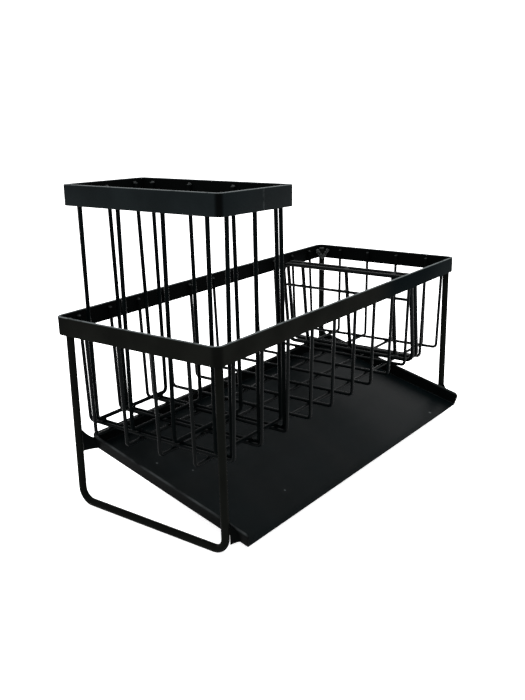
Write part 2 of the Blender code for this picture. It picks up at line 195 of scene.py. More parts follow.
# The bend tone sets the painted shade in the bends; the fold, rim end, tall rim corner, edge, seam and cut
# shares set painted highlights, reflections and glints; the dust ones set real dust.
BEND_SHADE_TONE = 0.3
BEND_GAIN = 2.4
FOLD_SHARE = 0.22
RIM_END_SHARE = 0.70
TOWER_CORNER_SHARE = 0.75
EDGE_SHARE = 0.8
SEAM_SHARE = 0.13
CUT_SHARE = 0.8
DUST_SHARE = 0.8
DUST_CORE = 0.45

# The fine grains in the orange peel, and what clouds, grains and kinds of piece do to the roughness.
FINE_GRAINS = 4.0
FINE_GRAIN_SHARE = 0.35
CLOUD_ROUGHNESS = 0.10
GRAIN_ROUGHNESS = 0.05
HIGHLIGHT_SMOOTHING = 0.08
WIRE_SMOOTHING = 0.15

# How finely the pieces are drawn.
WIRE_SIDES = 16
BEND_STEPS = 10
EDGE_STEPS = 4

# The camera was fitted to the photo, with its focal length and the photo's height in pixels.
CAMERA_FOCAL = 818.6
CAMERA_PICTURE = 700
CAMERA_SENSOR = 36.0
CAMERA_PLACE = (-0.46256, -0.32547, 0.24742)
CAMERA_AZIMUTH = math.radians(-53.39)
CAMERA_ELEVATION = math.radians(16.81)
CAMERA_ROLL = math.radians(-1.33)

# The soft lights: place, the point that each faces, and side.
LIGHTS = {
    "key": ((-0.55, -0.75, 1.10), (0.0, 0.0, 0.05), 0.90),
    "top": ((0.25, 0.35, 1.20), (0.0, 0.0, 0.05), 1.00),
    "tray": ((1.10, 0.22, 0.62), (0.10, -0.04, 0.02), 0.55),
}

# The floor's reach each way and points along a side, and the faint clouds in its paper.
FLOOR_REACH = 12.0
FLOOR_POINTS = 9
PAPER_CLOUDS = 3.0
PAPER_SHADE = 0.985
PAPER_ROUGHNESS = 0.9

# The long rim's own box gives the organizer's middle, top and outer size.
RIM_LOW, RIM_HIGH = (np.array(corner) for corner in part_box("rim"))
RIM_LENGTH, RIM_DEPTH, RIM_HEIGHT = RIM_HIGH - RIM_LOW
RIM_TOP = RIM_HIGH[2]
MIDDLE = np.array([(RIM_LOW[0] + RIM_HIGH[0]) / 2, (RIM_LOW[1] + RIM_HIGH[1]) / 2, 0.0])

# How far a leg's front upright stands from the rim's middle, along X and along Y.
LEG_ALONG = RIM_LENGTH / 2 - RIM_CORNER_RADIUS - SEAT_GAP
LEG_ACROSS = RIM_DEPTH / 2 - STRIP_THICKNESS - SEAT_GAP - LEG_DIAMETER / 2

# X of each crosswise wire and Y of each lengthwise wire, from the CAD nodes' boxes.
CROSSWISE_PLACES = np.array([np.mean(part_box(f"basket_wire_crosswise_{number:02d}"), axis=0)[0]
                             for number in range(1, 12)])
LENGTHWISE_PLACES = np.array([np.mean(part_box(f"basket_wire_lengthwise_{number}"), axis=0)[1]
                              for number in range(1, 5)])

# The tall basket's depth, its top edge over its lowest wires' centre, and its crosswise wires' places.
TOWER_DEPTH = RIM_DEPTH - 2 * (STRIP_THICKNESS + TOWER_SIDE_CLEARANCE)
TOWER_TOP = TOWER_HEIGHT - TOWER_WIRE_DIAMETER / 2
TOWER_CROSSWISE_STEP = TOWER_LENGTH / 2 - TOWER_CROSSWISE_MARGIN
TOWER_CROSSWISE_PLACES = np.array([-1, 0, 1]) * TOWER_CROSSWISE_STEP + TOWER_CROSSWISE_SHIFT

# The tray's length along X, its depth seen from above and its run down the slope.
TRAY_LENGTH = RIM_LENGTH - 2 * TRAY_END_INSET
TRAY_DEPTH = RIM_DEPTH + TRAY_FRONT_REACH - TRAY_BACK_INSET
TRAY_RUN = TRAY_DEPTH / math.cos(TRAY_SLOPE)

# From rod to rod across the divider, and its uprights' places along it.
ROD_STEP = ROD_DIAMETER + SEAT_GAP
UPRIGHT_PLACES = (-DIVIDER_UPRIGHT_PITCH, 0.0, DIVIDER_UPRIGHT_PITCH)

UP = np.array([0.0, 0.0, 1.0])
ALONG = np.array([1.0, 0.0, 0.0])
BACK = np.array([0.0, 1.0, 0.0])


def looks():
    """The settings of the coat and the beads."""
    return bpy.context.scene.organizer_coat


def unit(vectors):
    """Each vector over its own length."""
    return vectors / np.linalg.norm(vectors, axis=-1, keepdims=True)


def rounded(corners, radius, steps=BEND_STEPS, closed=False):
    """Straight runs with every inner corner turned into an arc.

    An arc's point is centre + radius * (cos t * start + sin t * heading), with t from 0 to the turn.
    """
    corners = np.asarray(corners, float)
    back = unit(np.roll(corners, 1, 0) - corners)
    ahead = unit(np.roll(corners, -1, 0) - corners)
    half = np.arccos(np.clip((back * ahead).sum(1), -1, 1))[:, None] / 2
    centre = corners + unit(back + ahead) * radius / np.sin(half)
    start = unit(corners + back * radius / np.tan(half) - centre)
    turn = np.linspace(0, 1, steps + 1)[None, :, None] * (math.pi - 2 * half)[:, :, None]
    arcs = centre[:, None] + radius * (np.cos(turn) * start[:, None] - np.sin(turn) * back[:, None])
    if closed:
        return arcs.reshape(-1, 3)
    return np.vstack([corners[:1], arcs[1:-1].reshape(-1, 3), corners[-1:]])


def u_bend(top_span, floor_span, height, radius, run=ALONG):
    """Centre line of a U: down one side, along its floor at height 0 and up the other side."""
    places = np.array([[-top_span, height], [-floor_span, 0], [floor_span, 0], [top_span, height]])
    places[:, 0] /= 2
    return rounded(places[:, :1] * run + places[:, 1:] * UP, radius)


def rectangle(length, depth, radius, steps=BEND_STEPS):
    """Rounded rectangle on the origin, in the level plane."""
    signs = np.array([[-1, -1, 0], [1, -1, 0], [1, 1, 0], [-1, 1, 0]])
    return rounded(signs * [length / 2, depth / 2, 0], radius, steps, closed=True)


def lean(points, angle):
    """Turn about the Y axis: x' = x cos + z sin, z' = z cos - x sin."""
    cos, sin = math.cos(angle), math.sin(angle)
    return points @ np.array([[cos, 0, -sin], [0, 1, 0], [sin, 0, cos]])


def carry(path, section, normal, closed=False, swell=None):
    """Section (a, b) carried along a flat path: point = path + a * side + b * normal.

    The side is heading x normal, so it lies in the path's plane, and swell scales the section along
    the path.
    """
    if closed:
        heading = unit(np.roll(path, -1, 0) - np.roll(path, 1, 0))
    else:
        heading = unit(np.gradient(path, axis=0))
    side = np.cross(heading, normal)
    spread = np.ones(len(path)) if swell is None else swell
    across = section[None, :, :1] * side[:, None] + section[None, :, 1:] * np.asarray(normal)
    return path[:, None] + spread[:, None, None] * across


def circle(radius, sides=WIRE_SIDES):
    """Round section: (radius cos t, radius sin t)."""
    turn = np.linspace(0, 2 * math.pi, sides, endpoint=False)
    return radius * np.stack([np.cos(turn), np.sin(turn)], axis=1)


def grid_faces(rows, columns, wrap_rows, wrap_columns):
    """Quads of a grid of points, numbered row by row, closed in the ways asked for."""
    row = np.arange(rows if wrap_rows else rows - 1)
    column = np.arange(columns if wrap_columns else columns - 1)
    here, right = column, (column + 1) % columns
    low, high = row[:, None] * columns, (row[:, None] + 1) % rows * columns
    return np.stack([low + here, low + right, high + right, high + here], axis=-1).reshape(-1, 4)


def signed_volume(points, faces):
    """Six times the volume inside the quads, below zero where they face inwards."""
    a, b, c, d = (points[faces[:, corner]] for corner in range(4))
    return (np.cross(a, b) * c).sum() + (np.cross(a, c) * d).sum()


def put(name, data):
    """A new object in the scene for a mesh, a light or a camera."""
    made = bpy.data.objects.new(name, data)
    bpy.context.scene.collection.objects.link(made)
    return made


def mesh_piece(name, points, faces, values=None, slots=None, sharp=None):
    """A smooth mesh object, with numbers kept on its points and a material slot for each face."""
    mesh = bpy.data.meshes.new(name)
    mesh.from_pydata(points.tolist(), [], faces)
    mesh.polygons.foreach_set("use_smooth", np.ones(len(mesh.polygons), bool))
    if sharp is not None:
        mesh.set_sharp_from_angle(angle=sharp)
    for key, value in (values or {}).items():
        layer = mesh.attributes.new(key, "FLOAT", "POINT")
        layer.data.foreach_set("value", np.asarray(value, np.float32).ravel())
    if slots is not None:
        mesh.polygons.foreach_set("material_index", np.asarray(slots, np.int32).ravel())
    mesh.validate()
    return put(name, mesh)


def new_piece(name, points, quads, caps=(), sharp=math.radians(40), values=None, slots=None):
    """A piece of quads and end caps, turned outwards, smooth except at sharp edges."""
    points = points.reshape(-1, 3)
    faces = quads[:, ::-1] if signed_volume(points - points.mean(0), quads) < 0 else quads
    caps = [cap[::-1] for cap in caps] if faces is not quads else list(caps)
    return mesh_piece(name, points, faces.tolist() + [list(cap) for cap in caps], values, slots, sharp)


def wire_piece(name, path, diameter, normal, closed=False, shade=None):
    """A round wire along a flat path. An open one has a small shoulder round each cut end.

    Its faces above the height in shade take the second coat.
    """
    radius = diameter / 2
    if closed:
        surface = carry(path, circle(radius), normal, closed=True)
        return new_piece(name, surface, grid_faces(len(path), WIRE_SIDES, True, True))
    first = path[:1] + unit(path[1:2] - path[:1]) * radius * SHOULDER_LENGTH
    last = path[-1:] + unit(path[-2:-1] - path[-1:]) * radius * SHOULDER_LENGTH
    path = np.vstack([path[:1], first, path[1:-1], last, path[-1:]])
    if shade is not None:
        cuts = [start + (end - start) * (shade - start[2]) / (end[2] - start[2])
                for start, end in ((path[1], path[2]), (path[-2], path[-3]))]
        path = np.vstack([path[:2], cuts[:1], path[2:-2], cuts[1:], path[-2:]])
    swell = np.ones(len(path))
    swell[[0, -1]] = SHOULDER_RADIUS
    surface = carry(path, circle(radius), normal, swell=swell)
    quads = grid_faces(len(path), WIRE_SIDES, False, True)
    ends = np.arange(WIRE_SIDES)
    caps = [ends[::-1], ends + (len(path) - 1) * WIRE_SIDES]
    # The cut value marks each cut end, where the coat lays a painted glint.
    cut = np.zeros((len(path), WIRE_SIDES))
    cut[[0, -1]] = 1
    slots = None
    if shade is not None:
        high = surface[..., 2].reshape(-1) > shade - radius
        slots = np.concatenate([high[quads].all(axis=1), [True, True]])
    return new_piece(name, surface, quads, caps, values={"cut": cut}, slots=slots)


def strip_piece(name, outline, height, place, tilt=0.0, seam=None):
    """A flat strip on edge, bent into a closed rounded rectangle.

    The section is a rounded rectangle, carried round the middle line of the strip. At the seam the
    strip is thicker by a low bump, exp(-(distance / width)^2) high. The bend value is a gain times
    the heading's x times its y, which is 0 on the straights and full in a corner's middle.
    """
    length, depth, corner_radius = outline
    middle_radius = corner_radius - STRIP_THICKNESS / 2
    path = rectangle(length - STRIP_THICKNESS, depth - STRIP_THICKNESS, middle_radius)
    first_corner = BEND_STEPS + 1
    if seam is not None:
        beside = np.linspace(-SEAM_REACH, SEAM_REACH, SEAM_STEPS)
        mark = np.stack([seam + beside, np.full(SEAM_STEPS, path[:, 1].min()), 0 * beside], axis=1)
        path = np.vstack([path[:first_corner], mark, path[first_corner:]])
    section = rectangle(STRIP_THICKNESS, height, STRIP_EDGE_RADIUS, EDGE_STEPS)[:, :2]
    surface = carry(path, section, UP, closed=True)
    heading = unit(np.roll(path, -1, 0) - np.roll(path, 1, 0))
    bump = np.zeros(len(path))
    if seam is not None:
        bump[first_corner:first_corner + SEAM_STEPS] = np.exp(-(beside / SEAM_WIDTH) ** 2)
        out = np.sign(section[:, 0]) * SEAM_HEIGHT
        surface = surface + bump[:, None, None] * out[None, :, None] * np.cross(heading, UP)[:, None]
    # The edge value marks the strip's top edge, where the coat lays a painted highlight.
    edge = np.clip((section[:, 1] - height / 2) / STRIP_EDGE_RADIUS + 1, 0, 1)
    # The bend value marks each corner, where the coat lays painted shade.
    bend = np.clip(BEND_GAIN * np.abs(heading[:, 0] * heading[:, 1]), 0, 1)
    values = {
        "edge": np.tile(edge, (len(path), 1)),
        "bend": np.tile(bend[:, None], (1, len(section))),
        "seam": np.tile(bump[:, None], (1, len(section))),
    }
    quads = grid_faces(len(path), len(section), True, True)
    inside = (section[:, 0] < 0) & (np.roll(section[:, 0], -1) < 0)
    slots = np.tile(inside, (len(path), 1))
    return new_piece(name, lean(surface, tilt) + place, quads, values=values, slots=slots)


def bead_piece(name, centres, sizes, lumps=0.16, rings=7, around=10):
    """Weld beads: uneven ellipsoids, each point = centre + size * bump * (cos p cos q, cos p sin q, sin p).

    The sizes are in ordinary beads. The bump is 1 + lumps * sin(3q + phase) * cos(2p + phase), so no
    two beads of a piece are alike.
    """
    count = len(centres)
    centres, sizes = np.asarray(centres), np.atleast_2d(sizes) * looks().bead * np.ones((count, 1))
    phase = np.random.default_rng(BEAD_SEED).uniform(0, 2 * math.pi, (count, 2))[:, :, None, None]
    lift = np.linspace(-math.pi / 2, math.pi / 2, rings + 2)[1:-1][:, None]
    turn = np.linspace(0, 2 * math.pi, around, endpoint=False)[None, :]
    bump = 1 + lumps * np.sin(3 * turn + phase[:, 0]) * np.cos(2 * lift + phase[:, 1])
    shape = np.stack([np.cos(lift) * np.cos(turn), np.cos(lift) * np.sin(turn), np.sin(lift) + 0 * turn], -1)
    body = (bump[..., None] * shape * sizes[:, None, None]).reshape(count, -1, 3)
    poles = np.array([[0, 0, -1.0], [0, 0, 1.0]])[None] * sizes[:, None]
    points = np.concatenate([body, poles], axis=1) + centres[:, None]
    quads = grid_faces(rings, around, False, True)
    low, high = rings * around, rings * around + 1
    step = np.arange(around)
    after = (step + 1) % around
    bottom = np.stack([after, step, np.full(around, low)], 1)
    top = np.stack([step, after, np.full(around, high)], 1)
    top[:, :2] += (rings - 1) * around
    first = (np.arange(count) * points.shape[1])[:, None, None]
    faces = (quads[None] + first).reshape(-1, 4)
    caps = (np.concatenate([bottom, top])[None] + first).reshape(-1, 3)
    return new_piece(name, points, faces, caps, sharp=math.pi)


def math_operator(operation, reflected=False):
    """The method of an operator: it adds the Math node of a value and the other one."""
    def method(self, other):
        first, second = (other, self) if reflected else (self, other)
        return self.coat.node("ShaderNodeMath", {"operation": operation}, {0: first, 1: second})

    return method


class Shade:
    """A shader value that is written in sums, so 1 - mask adds its Math nodes."""

    def __init__(self, coat, socket):
        self.coat = coat
        self.socket = socket

    __add__ = math_operator("ADD")
    __radd__ = math_operator("ADD", reflected=True)
    __sub__ = math_operator("SUBTRACT")
    __rsub__ = math_operator("SUBTRACT", reflected=True)
    __mul__ = math_operator("MULTIPLY")
    __rmul__ = math_operator("MULTIPLY", reflected=True)


class Coat:
    """A material and the nodes in it."""

    def __init__(self, name):
        self.material = bpy.data.materials.new(name)
        self.material.use_nodes = True
        self.tree = self.material.node_tree
        self.shader = self.tree.nodes["Principled BSDF"]

    def node(self, kind, settings=None, values=None, output=0):
        """A node of that kind, with its settings made first and then its sockets filled or linked."""
        made = self.tree.nodes.new(kind)
        for key, value in (settings or {}).items():
            setattr(made, key, value)
        self.fill(made, values or {})
        return Shade(self, made.outputs[output])

    def fill(self, made, values):
        """Sets or links sockets of a node."""
        for key, value in values.items():
            socket = made.inputs[key]
            if isinstance(value, Shade):
                self.tree.links.new(value.socket, socket)
            else:
                socket.default_value = value

    def places(self):
        """Object coordinates."""
        return self.node("ShaderNodeTexCoord", output="Object")

    def axis(self, places, letter):
        """One of the coordinates of places."""
        return self.node("ShaderNodeSeparateXYZ", None, {0: places}, letter)

    def noise(self, places, scale, detail=3.0):
        """Noise from 0 to 1."""
        values = {"Vector": places, "Scale": scale, "Detail": detail, "Roughness": 0.5}
        return self.node("ShaderNodeTexNoise", None, values, "Fac")

    def step(self, value, low, high):
        """0 below low, 1 above high and a smooth ramp between."""
        settings = {"interpolation_type": "SMOOTHSTEP"}
        return self.node("ShaderNodeMapRange", settings, {"Value": value, "From Min": low, "From Max": high})

    def patches(self, places, pattern):
        """Soft patches: noise through a ramp."""
        scale, detail, low, high = pattern
        return self.step(self.noise(places, scale, detail), low, high)

    def mix(self, share, first, second):
        """Colour between two colours."""
        settings = {"data_type": "RGBA"}
        return self.node("ShaderNodeMix", settings, {0: share, 6: first, 7: second}, 2)

    def value(self, key):
        """A number kept on the mesh's points."""
        return self.node("ShaderNodeAttribute", {"attribute_name": key}, None, "Fac")


def colour(rgb, factor=1.0):
    """An opaque colour, made lighter or darker by a factor."""
    return (*(channel * factor for channel in rgb), 1.0)


def rim_reflection(coat, places, tone):
    """The long rim's painted reflection: cooler past its middle and like the tall rim at its far end."""
    along = coat.axis(places, "X")
    tone = coat.mix(coat.step(along, *RIM_REFLECTION_X), tone, colour(looks().painted_reflection))
    return coat.mix(coat.step(along, *RIM_END_X) * RIM_END_SHARE, tone, colour(looks().tower))


def tower_reflection(coat, places, tone):
    """The tall rim's painted reflection: darker at the front beside its near corner."""
    past = coat.step(coat.axis(places, "X"), *TOWER_NEAR_X)
    behind = coat.step(coat.axis(places, "Y"), *TOWER_FRONT_Y)
    return coat.mix((1 - past) * (1 - behind) * TOWER_CORNER_SHARE, tone, colour(looks().painted_reflection))


def powder_coat(name, key, kind="plain", gloss=1.0, marks=(), bend_shade=0.9):
    """Satin powder coat in one of the settings' colours, with orange peel and a cloudy sheen.

    A strip, and each rim's outer face, is darker in its bends, painted shade, and lighter along its top
    edge and seam, a painted highlight. The long rim's outer face has a painted reflection, cooler past
    its middle and lighter at its far end; the tall rim's is darker beside its near corner. A sheet is
    lighter along its folds, a painted highlight, a wire's cut ends are light, a painted glint, and a
    weld is speckled at random between near black and its light tone, painted glints.
    Marks are the places and sizes of specks of dust.
    """
    coat = Coat(name)
    places = coat.places()
    rgb, highlight_tone = getattr(looks(), key), colour(looks().painted_highlight)
    scale, detail, low, high = CLOUDS
    clouds = coat.noise(places, scale, detail)
    grains = coat.noise(places, 1 / looks().peel_size, 2.0)
    fine = coat.noise(places, FINE_GRAINS / looks().peel_size, 1.0)
    tone = coat.mix(coat.step(clouds, low, high), *(colour(rgb, factor) for factor in CLOUD_TONES))
    rough = looks().roughness + CLOUD_ROUGHNESS * clouds + GRAIN_ROUGHNESS * grains
    rough = rough - (CLOUD_ROUGHNESS + GRAIN_ROUGHNESS) / 2
    # A sheet gets a painted highlight along its folds.
    if kind == "sheet":
        highlight = coat.value("edge") * coat.patches(places, FOLD_HIGHLIGHT)
        tone = coat.mix(highlight * FOLD_SHARE, tone, highlight_tone)
    # The rims' outer faces get a painted reflection along them.
    if kind == "rim":
        tone = rim_reflection(coat, places, tone)
    if kind == "tall":
        tone = tower_reflection(coat, places, tone)
    if kind in ("rim", "tall", "strip"):
        # Painted shade, darkest in the middle of each bend.
        tone = coat.mix(coat.value("bend") * bend_shade, tone, colour(looks().inside, BEND_SHADE_TONE))
        # Painted highlight along the top edge and a faint one across the seam, where the coat is also
        # smoother.
        highlight = coat.value("edge") * coat.patches(places, EDGE_HIGHLIGHT)
        tone = coat.mix(highlight * EDGE_SHARE, tone, highlight_tone)
        seam = coat.value("seam") * coat.patches(places, SEAM_HIGHLIGHT)
        tone = coat.mix(seam * SEAM_SHARE, tone, highlight_tone)
        rough = rough - HIGHLIGHT_SMOOTHING * highlight
    # A weld is speckled at random between near black and its light tone, which stands for painted glints.
    if kind == "weld":
        tone = coat.mix(coat.patches(places, WELD_SPECKLE), colour(looks().inside), tone)
    if kind == "wire":
        rough = rough - WIRE_SMOOTHING
        # Painted glint on the cut ends, in the weld's light tone.
        tone = coat.mix(coat.value("cut") * CUT_SHARE, tone, colour(looks().weld))
    for place, size in marks:
        values = {0: places, 1: place}
        distance = coat.node("ShaderNodeVectorMath", {"operation": "DISTANCE"}, values, "Value")
        spot = 1 - coat.step(distance, size * DUST_CORE, size)
        tone = coat.mix(spot * DUST_SHARE, tone, colour(looks().dust))
    height = grains + FINE_GRAIN_SHARE * fine
    values = {"Height": height, "Strength": looks().peel_strength, "Distance": looks().peel_depth}
    bump = coat.node("ShaderNodeBump", None, values, "Normal")
    values = {"Base Color": tone, "Roughness": rough, "Normal": bump}
    values["Specular IOR Level"] = looks().specular * gloss
    coat.fill(coat.shader, values)
    return coat.material


def wire_coats(basket, gloss):
    """A basket's wire coat, and the nearly black one of what stands in the shade inside its rim."""
    wire = powder_coat(f"{basket}_wire_coat", "wire", "wire", gloss=gloss)
    return wire, powder_coat(f"{basket}_shade_coat", "inside", "wire", gloss=0.1)


def finish(piece, material, slot, body, *nodes):
    """Coats a piece, hides the CAD nodes it stands for and lets it ride on its body. The slot is not used."""
    for coat in material if isinstance(material, tuple) else (material,):
        piece.data.materials.append(coat)
    if nodes:
        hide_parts(*nodes)
    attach(piece, body)


def wire_inset(diameter):
    """From a rim's outer face to the centre of a wire welded inside it."""
    return STRIP_THICKNESS + SEAT_GAP + diameter / 2


def leg_back_y(height):
    """How far a leg's back upright, which leans forward a little, stands from the middle at a height."""
    return LEG_ACROSS - LEG_BACK_INSET - LEG_BACK_LEAN * height / RIM_TOP


def tower_foot():
    """Middle of the tall basket's floor, found from its rim's box."""
    return np.mean(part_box("tower_rim"), axis=0) - lean(UP * (TOWER_TOP - TOWER_STRIP_HEIGHT / 2), TOWER_LEAN)


def divider_foot():
    """Middle of the divider's lower rods, and the height of its upper ones over them."""
    x = CROSSWISE_PLACES[DIVIDER_BAY] + DIVIDER_BAY_STEP
    y = MIDDLE[1] + (DIVIDER_FRONT_CLEARANCE - DIVIDER_BACK_CLEARANCE) / 2
    low = BASKET_FLOOR_HEIGHT - WIRE_DIAMETER / 2 + ROD_DIAMETER / 2 + ROD_STEP * math.sin(DIVIDER_LEAN)
    high = (RIM_TOP - DIVIDER_TOP_DROP - ROD_DIAMETER / 2 - low) / math.cos(DIVIDER_LEAN)
    return np.array([x, y, low]), high


def tray_turn(points):
    """From the tray's own level frame to its place: sloped about X, then skewed about Z."""
    cos, sin = math.cos(TRAY_SLOPE), math.sin(TRAY_SLOPE)
    sloped = points @ np.array([[1, 0, 0], [0, cos, sin], [0, -sin, cos]])
    cos, sin = math.cos(TRAY_SKEW), math.sin(TRAY_SKEW)
    turned = sloped @ np.array([[cos, sin, 0], [-sin, cos, 0], [0, 0, 1]])
    front = [TRAY_DEPTH / 2 * math.sin(TRAY_SKEW), -RIM_DEPTH / 2 - TRAY_FRONT_REACH, TRAY_FRONT_HEIGHT]
    return turned + front + MIDDLE


def tray_rim(number, steps):
    """Floor points that the lips rise from, in order round three sides, and the way out at each.

    At the two rear corners the way out turns from one side to the next in even steps.
    """
    turn = np.linspace(0, math.pi / 2, steps + 1)[:, None]
    left, rear, right = -ALONG, BACK, ALONG
    places = [number[:-1, 0], np.repeat(number[-1, 0], steps + 1), number[-1, 1:-1],
              np.repeat(number[-1, -1], steps + 1), number[-2::-1, -1]]
    ways = [np.tile(left, (len(places[0]), 1)), np.cos(turn) * left + np.sin(turn) * rear,
            np.tile(rear, (len(places[2]), 1)), np.cos(turn) * rear + np.sin(turn) * right,
            np.tile(right, (len(places[4]), 1))]
    return np.concatenate(places), np.concatenate(ways)


def lip_profile(fold_steps=6, lip_steps=5):
    """Reach and rise of a lip: r sin t and r (1 - cos t) round the fold, then straight up its flare."""
    flare = math.atan2(TRAY_LIP_FLARE, TRAY_LIP_HEIGHT)
    turn = np.linspace(0, math.pi / 2 - flare, fold_steps + 1)[1:]
    reach = TRAY_FOLD_RADIUS * np.sin(turn)
    rise = TRAY_FOLD_RADIUS * (1 - np.cos(turn))
    climb = np.linspace(0, TRAY_LIP_HEIGHT - rise[-1], lip_steps + 1)[1:]
    out, up = reach[-1] + climb * math.tan(flare), rise[-1] + climb
    return np.concatenate([reach, out]), np.concatenate([rise, up])


def tray_piece(columns=40, rows=24, corner_steps=8, highlight_points=(1, 2, -1)):
    """The folded tray: a floor grid with a lip carried round three sides, as one sheet with thickness.

    The floor sinks by the product of two parabolas, as thin folded sheet does, and the lips' front
    ends are cut back by a quarter circle at their top. The lip's profile carries a painted highlight at
    two points of its fold and at its top edge.
    """
    half, back = TRAY_LENGTH / 2 - TRAY_FOLD_RADIUS, TRAY_RUN - TRAY_FOLD_RADIUS
    x, y = np.meshgrid(np.linspace(-half, half, columns + 1), np.linspace(0, back, rows + 1))
    sink = -TRAY_SAG * (1 - (x / half) ** 2) * 4 * y / back * (1 - y / back)
    floor = np.stack([x, y, sink], axis=-1).reshape(-1, 3)
    number = np.arange(len(floor)).reshape(rows + 1, columns + 1)
    inner, out = tray_rim(number, corner_steps)
    reach, rise = lip_profile()
    lips = floor[inner][:, None] + reach[None, :, None] * out[:, None] + rise[None, :, None] * UP
    radius = TRAY_LIP_CORNER_RADIUS
    over = np.clip(rise - (TRAY_LIP_HEIGHT - radius), 0, None) / radius
    cut = radius * (1 - np.sqrt(1 - over ** 2))
    at_end = np.isclose(out[:, 1], 0)[:, None]
    lips[..., 1] += at_end * cut * (1 - lips[..., 1] / TRAY_RUN)
    outer = np.arange(lips.shape[0] * lips.shape[1]).reshape(lips.shape[:2]) + len(floor)
    full = np.concatenate([inner[:, None], outer], axis=1)
    walls = np.stack([full[:-1, :-1], full[1:, :-1], full[1:, 1:], full[:-1, 1:]], axis=-1).reshape(-1, 4)
    quads = np.concatenate([grid_faces(rows + 1, columns + 1, False, False), walls])
    # Points of the lip's profile where the coat lays a painted highlight.
    highlight = np.zeros(reach.shape)
    highlight[list(highlight_points)] = 1
    edge = np.concatenate([np.zeros(len(floor)), np.tile(highlight, len(out))])
    faces = [list(dict.fromkeys(face)) for face in quads.tolist()]
    on_lip = np.arange(len(quads)) >= len(quads) - len(walls)
    points = tray_turn(np.concatenate([floor, lips.reshape(-1, 3)]))
    piece = mesh_piece("tray_sheet", points, faces, {"edge": edge}, on_lip)
    sheet = piece.modifiers.new("Sheet", "SOLIDIFY")
    sheet.thickness = TRAY_THICKNESS
    sheet.offset = 1
    sheet.use_even_offset = True
    sheet.material_offset = 1
    edges = piece.modifiers.new("Cut edges", "BEVEL")
    edges.width = TRAY_EDGE_BEVEL
    edges.segments = 2
    edges.limit_method = "ANGLE"
    edges.angle_limit = math.radians(60)
    return piece


def tab_piece(name, side, from_back, rows=12, columns=9):
    """A tab from a point on an end lip to the leg beside it.

    From s = 0 at the lip to 1 at the leg, its lower edge drops and its upper edge rises by s to a
    power, so it flares towards the leg. Across it, t goes from its lower edge to its upper one.
    """
    along = TRAY_RUN - TAB_BACK_SETBACK if from_back else TAB_FRONT_SETBACK
    half = TRAY_LENGTH / 2 - TRAY_THICKNESS / 2
    ends = np.array([[side * half, along, TRAY_THICKNESS],
                     [side * (half + TRAY_LIP_FLARE), along, TRAY_LIP_HEIGHT - TRAY_THICKNESS]])
    low, high = tray_turn(ends) - MIDDLE
    fold = (low + high) / 2
    leg_y = leg_back_y(fold[2]) if from_back else -LEG_ACROSS
    toward = np.array([side * LEG_ALONG - fold[0], leg_y - fold[1], 0])
    distance = np.linalg.norm(toward)
    toward = toward / distance
    reach = distance - LEG_DIAMETER / 2 - SEAT_GAP / 2
    s = np.linspace(0, 1, rows)[:, None, None]
    t = np.linspace(0, 1, columns)[None, :, None]
    flare = s ** TAB_FLARE_POWER
    slant = (high - low)[0] / 2 / toward[0]
    height = (low[2] - TAB_DROP * flare) * (1 - t) + (high[2] + TAB_RISE * flare) * t
    run_out = (2 * t - 1) * slant * (1 - s) + reach * s
    points = fold * [1, 1, 0] + run_out * toward + height * UP + MIDDLE
    square = np.cross(toward, UP) * TAB_THICKNESS / 2
    ring = np.concatenate([points + square, (points - square)[:, ::-1]], axis=1)
    around = 2 * columns
    up = np.arange(columns - 1)
    first = np.stack([up, up + 1, around - 2 - up, around - 1 - up], axis=1)
    caps = first[:, ::-1].tolist() + (first + (rows - 1) * around).tolist()
    return new_piece(name, ring, grid_faces(rows, around, False, True), caps)


def make_strips():
    """The long rim and the tall basket's rim."""
    outline = (RIM_LENGTH, RIM_DEPTH, RIM_CORNER_RADIUS)
    place = MIDDLE + UP * (RIM_TOP - RIM_HEIGHT / 2)
    rim = strip_piece("rim_strip", outline, RIM_HEIGHT, place)
    # The rims' inner faces are near black: painted shade.
    inside = powder_coat("rim_inside_coat", "inside", "strip", gloss=0.1)
    outside = powder_coat("rim_coat", "frame", "rim", gloss=0.03, bend_shade=0.55)
    finish(rim, (outside, inside), "frame_coat", "organizer", "rim")
    outline = (TOWER_LENGTH, TOWER_DEPTH, TOWER_CORNER_RADIUS)
    place = np.mean(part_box("tower_rim"), axis=0) + TOWER_RIM_SHIFT
    rim = strip_piece("tower_strip", outline, TOWER_STRIP_HEIGHT, place, TOWER_RIM_TILT, SEAM_PLACE)
    outside = powder_coat("tower_rim_coat", "tower", "tall", gloss=0.25)
    finish(rim, (outside, inside), "tower_coat", "tower", "tower_rim")


def make_legs():
    """The two legs: one U of thick wire under each short end."""
    coat = powder_coat("leg_coat", "leg", "wire", gloss=0.15)
    low = LEG_DIAMETER / 2
    height = RIM_TOP - LEG_TOP_DROP
    corners = [[0, -LEG_ACROSS, height], [0, -LEG_ACROSS, low], [0, leg_back_y(0), low],
               [0, leg_back_y(height), height]]
    path = rounded(corners, LEG_BEND_RADIUS)
    for name, x in (("near", -LEG_ALONG), ("far", LEG_ALONG)):
        leg = wire_piece(f"leg_bar_{name}", path + MIDDLE + ALONG * x, LEG_DIAMETER, ALONG)
        finish(leg, coat, "frame_coat", "organizer", f"leg_{name}")


